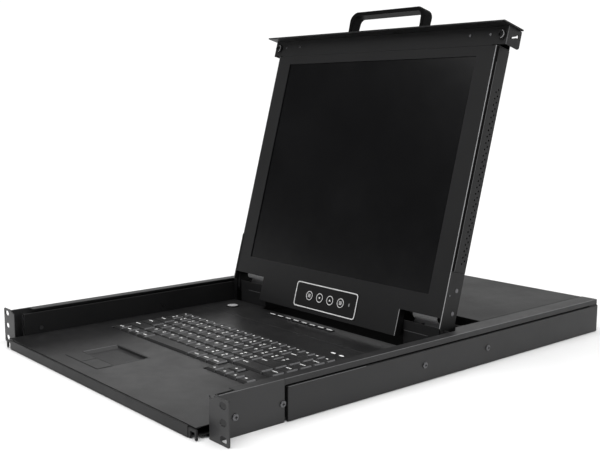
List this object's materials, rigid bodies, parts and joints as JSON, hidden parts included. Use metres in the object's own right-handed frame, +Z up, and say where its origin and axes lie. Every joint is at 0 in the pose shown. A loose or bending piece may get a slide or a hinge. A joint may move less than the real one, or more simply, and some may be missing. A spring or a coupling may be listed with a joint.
{
  "type": "kvm switch",
  "caption": "Rack-mounted console drawer with fold-up display, keyboard, touchpad and built-in computer switch, sliding on side rails between two rack ears.",
  "frame": {"origin": "centre of the ear hole pattern, on the front faces of the two rack ears", "axes": "+X to the right seen by the user, +Y into the rack, towards the rear panel, +Z up; the user stands at -Y"},
  "size_m": [0.4826, 0.6415, 0.4252],
  "materials": {
    "rail_paint": "satin powder coat",
    "bracket_paint": "satin powder coat",
    "cover_paint": "satin powder coat",
    "zinc_steel": "zinc plated",
    "screw_steel": "nickel plated",
    "drawer_paint": "satin powder coat",
    "deck_paint": "fine textured powder coat",
    "keyboard_frame": "matte",
    "touchpad_plastic": "fine matte",
    "button_plastic": "satin",
    "key_plastic": "fine matte",
    "inlet_plastic": "matte",
    "board_laminate": "solder mask",
    "cable_jacket": "matte",
    "display_paint": "satin powder coat",
    "screen_glass": "glossy",
    "display_module": "matte",
    "membrane": "smooth",
    "bumper_rubber": "matte"
  },
  "bodies": {
    "rails": {"base_pan": "zinc_steel", "left_outer_rail": "rail_paint", "right_outer_rail": "rail_paint", "left_ear_bracket": "bracket_paint", "right_ear_bracket": "bracket_paint", "left_rail_cover": "cover_paint", "right_rail_cover": "cover_paint", "left_slide_outer": "zinc_steel", "right_slide_outer": "zinc_steel", "rail_screws": "screw_steel"},
    "left_middle_slide": {"left_slide_middle": "zinc_steel"},
    "right_middle_slide": {"right_slide_middle": "zinc_steel"},
    "drawer": {"left_slide_inner": "zinc_steel", "right_slide_inner": "zinc_steel", "drawer_tray": "drawer_paint", "left_side_panel": "drawer_paint", "right_side_panel": "drawer_paint", "keyboard_deck": "deck_paint", "control_panel": "deck_paint", "keyboard_base": "keyboard_frame", "touchpad": "touchpad_plastic", "left_hinge_housing": "drawer_paint", "right_hinge_housing": "drawer_paint", "hinge_shafts": "screw_steel", "rear_cover": "drawer_paint", "rear_panel": "drawer_paint", "rear_ports": "screw_steel", "power_inlet": "inlet_plastic", "switch_board": "board_laminate", "power_supply": "zinc_steel", "display_cable": "cable_jacket"},
    "function_key_row": {"function_keys": "key_plastic"},
    "number_key_row": {"number_keys": "key_plastic"},
    "upper_letter_key_row": {"upper_letter_keys": "key_plastic"},
    "home_letter_key_row": {"home_letter_keys": "key_plastic"},
    "lower_letter_key_row": {"lower_letter_keys": "key_plastic"},
    "modifier_key_row": {"modifier_keys": "key_plastic"},
    "space_key": {"space_bar": "key_plastic"},
    "arrow_key_group": {"arrow_keys": "key_plastic"},
    "navigation_key_group": {"navigation_keys": "key_plastic"},
    "left_click_button": {"touchpad_left_button": "button_plastic"},
    "right_click_button": {"touchpad_right_button": "button_plastic"},
    "port_button_row": {"port_buttons": "button_plastic"},
    "round_console_button": {"console_button": "button_plastic"},
    "power_rocker": {"power_switch": "button_plastic"},
    "display": {"lcd_bezel": "display_paint", "lcd_glass": "screen_glass", "lcd_module": "display_module", "lcd_controller": "board_laminate", "lcd_rear_cover": "display_paint", "osd_panel": "membrane", "top_bracket": "display_paint", "front_plate": "display_paint", "pull_handle": "display_paint", "hinge_arms": "display_paint", "bumpers": "bumper_rubber"},
    "display_menu_button": {"osd_menu_button": "membrane"},
    "display_down_button": {"osd_down_button": "membrane"},
    "display_up_button": {"osd_up_button": "membrane"},
    "display_power_button": {"osd_power_button": "membrane"}
  },
  "joints": [
    {"name": "drawer_slide", "type": "slide", "parent": "rails", "child": "drawer", "axis": [0, -1, 0], "range_m": [0, 0.4]},
    {"name": "left_slide_travel", "type": "slide", "parent": "rails", "child": "left_middle_slide", "axis": [0, -1, 0], "range_m": [0, 0.2]},
    {"name": "right_slide_travel", "type": "slide", "parent": "rails", "child": "right_middle_slide", "axis": [0, -1, 0], "range_m": [0, 0.2]},
    {"name": "display_hinge", "type": "hinge", "parent": "drawer", "child": "display", "pos_m": [0, 0.3511, 0.01195], "axis": [1, 0, 0], "range_deg": [-15, 105.27]},
    {"name": "function_keys_press", "type": "slide", "parent": "drawer", "child": "function_key_row", "axis": [0, 0, -1], "range_m": [0, 0.002], "stiffness_N_per_m": 5400, "springref_m": -0.001},
    {"name": "number_keys_press", "type": "slide", "parent": "drawer", "child": "number_key_row", "axis": [0, 0, -1], "range_m": [0, 0.002], "stiffness_N_per_m": 4200, "springref_m": -0.001},
    {"name": "upper_letter_keys_press", "type": "slide", "parent": "drawer", "child": "upper_letter_key_row", "axis": [0, 0, -1], "range_m": [0, 0.002], "stiffness_N_per_m": 4200, "springref_m": -0.001},
    {"name": "home_letter_keys_press", "type": "slide", "parent": "drawer", "child": "home_letter_key_row", "axis": [0, 0, -1], "range_m": [0, 0.002], "stiffness_N_per_m": 3900, "springref_m": -0.001},
    {"name": "lower_letter_keys_press", "type": "slide", "parent": "drawer", "child": "lower_letter_key_row", "axis": [0, 0, -1], "range_m": [0, 0.002], "stiffness_N_per_m": 3600, "springref_m": -0.001},
    {"name": "modifier_keys_press", "type": "slide", "parent": "drawer", "child": "modifier_key_row", "axis": [0, 0, -1], "range_m": [0, 0.002], "stiffness_N_per_m": 2100, "springref_m": -0.001},
    {"name": "space_bar_press", "type": "slide", "parent": "drawer", "child": "space_key", "axis": [0, 0, -1], "range_m": [0, 0.002], "stiffness_N_per_m": 500, "springref_m": -0.001},
    {"name": "arrow_keys_press", "type": "slide", "parent": "drawer", "child": "arrow_key_group", "axis": [0, 0, -1], "range_m": [0, 0.002], "stiffness_N_per_m": 1200, "springref_m": -0.001},
    {"name": "navigation_keys_press", "type": "slide", "parent": "drawer", "child": "navigation_key_group", "axis": [0, 0, -1], "range_m": [0, 0.002], "stiffness_N_per_m": 1500, "springref_m": -0.001},
    {"name": "left_click_press", "type": "slide", "parent": "drawer", "child": "left_click_button", "axis": [0, 0, -1], "range_m": [0, 0.0008], "stiffness_N_per_m": 900, "springref_m": -0.0005},
    {"name": "right_click_press", "type": "slide", "parent": "drawer", "child": "right_click_button", "axis": [0, 0, -1], "range_m": [0, 0.0008], "stiffness_N_per_m": 900, "springref_m": -0.0005},
    {"name": "port_buttons_press", "type": "slide", "parent": "drawer", "child": "port_button_row", "axis": [0, 0, -1], "range_m": [0, 0.0008], "stiffness_N_per_m": 7200, "springref_m": -0.0005},
    {"name": "console_button_press", "type": "slide", "parent": "drawer", "child": "round_console_button", "axis": [0, 0, -1], "range_m": [0, 0.0012], "stiffness_N_per_m": 900, "springref_m": -0.0005},
    {"name": "power_rocker_tilt", "type": "hinge", "parent": "drawer", "child": "power_rocker", "pos_m": [-0.136, 0.62, 0.0002], "axis": [1, 0, 0], "range_deg": [-8, 8]},
    {"name": "display_menu_press", "type": "slide", "parent": "display", "child": "display_menu_button", "axis": [0, 0.9647, -0.2634], "range_m": [0, 0.0004], "stiffness_N_per_m": 1500, "springref_m": -0.0005},
    {"name": "display_down_press", "type": "slide", "parent": "display", "child": "display_down_button", "axis": [0, 0.9647, -0.2634], "range_m": [0, 0.0004], "stiffness_N_per_m": 1500, "springref_m": -0.0005},
    {"name": "display_up_press", "type": "slide", "parent": "display", "child": "display_up_button", "axis": [0, 0.9647, -0.2634], "range_m": [0, 0.0004], "stiffness_N_per_m": 1500, "springref_m": -0.0005},
    {"name": "display_power_press", "type": "slide", "parent": "display", "child": "display_power_button", "axis": [0, 0.9647, -0.2634], "range_m": [0, 0.0004], "stiffness_N_per_m": 1500, "springref_m": -0.0005}
  ],
  "couplings": [
    {"joint": "left_slide_travel", "follows": "drawer_slide", "ratio": 0.5},
    {"joint": "right_slide_travel", "follows": "drawer_slide", "ratio": 0.5}
  ]
}
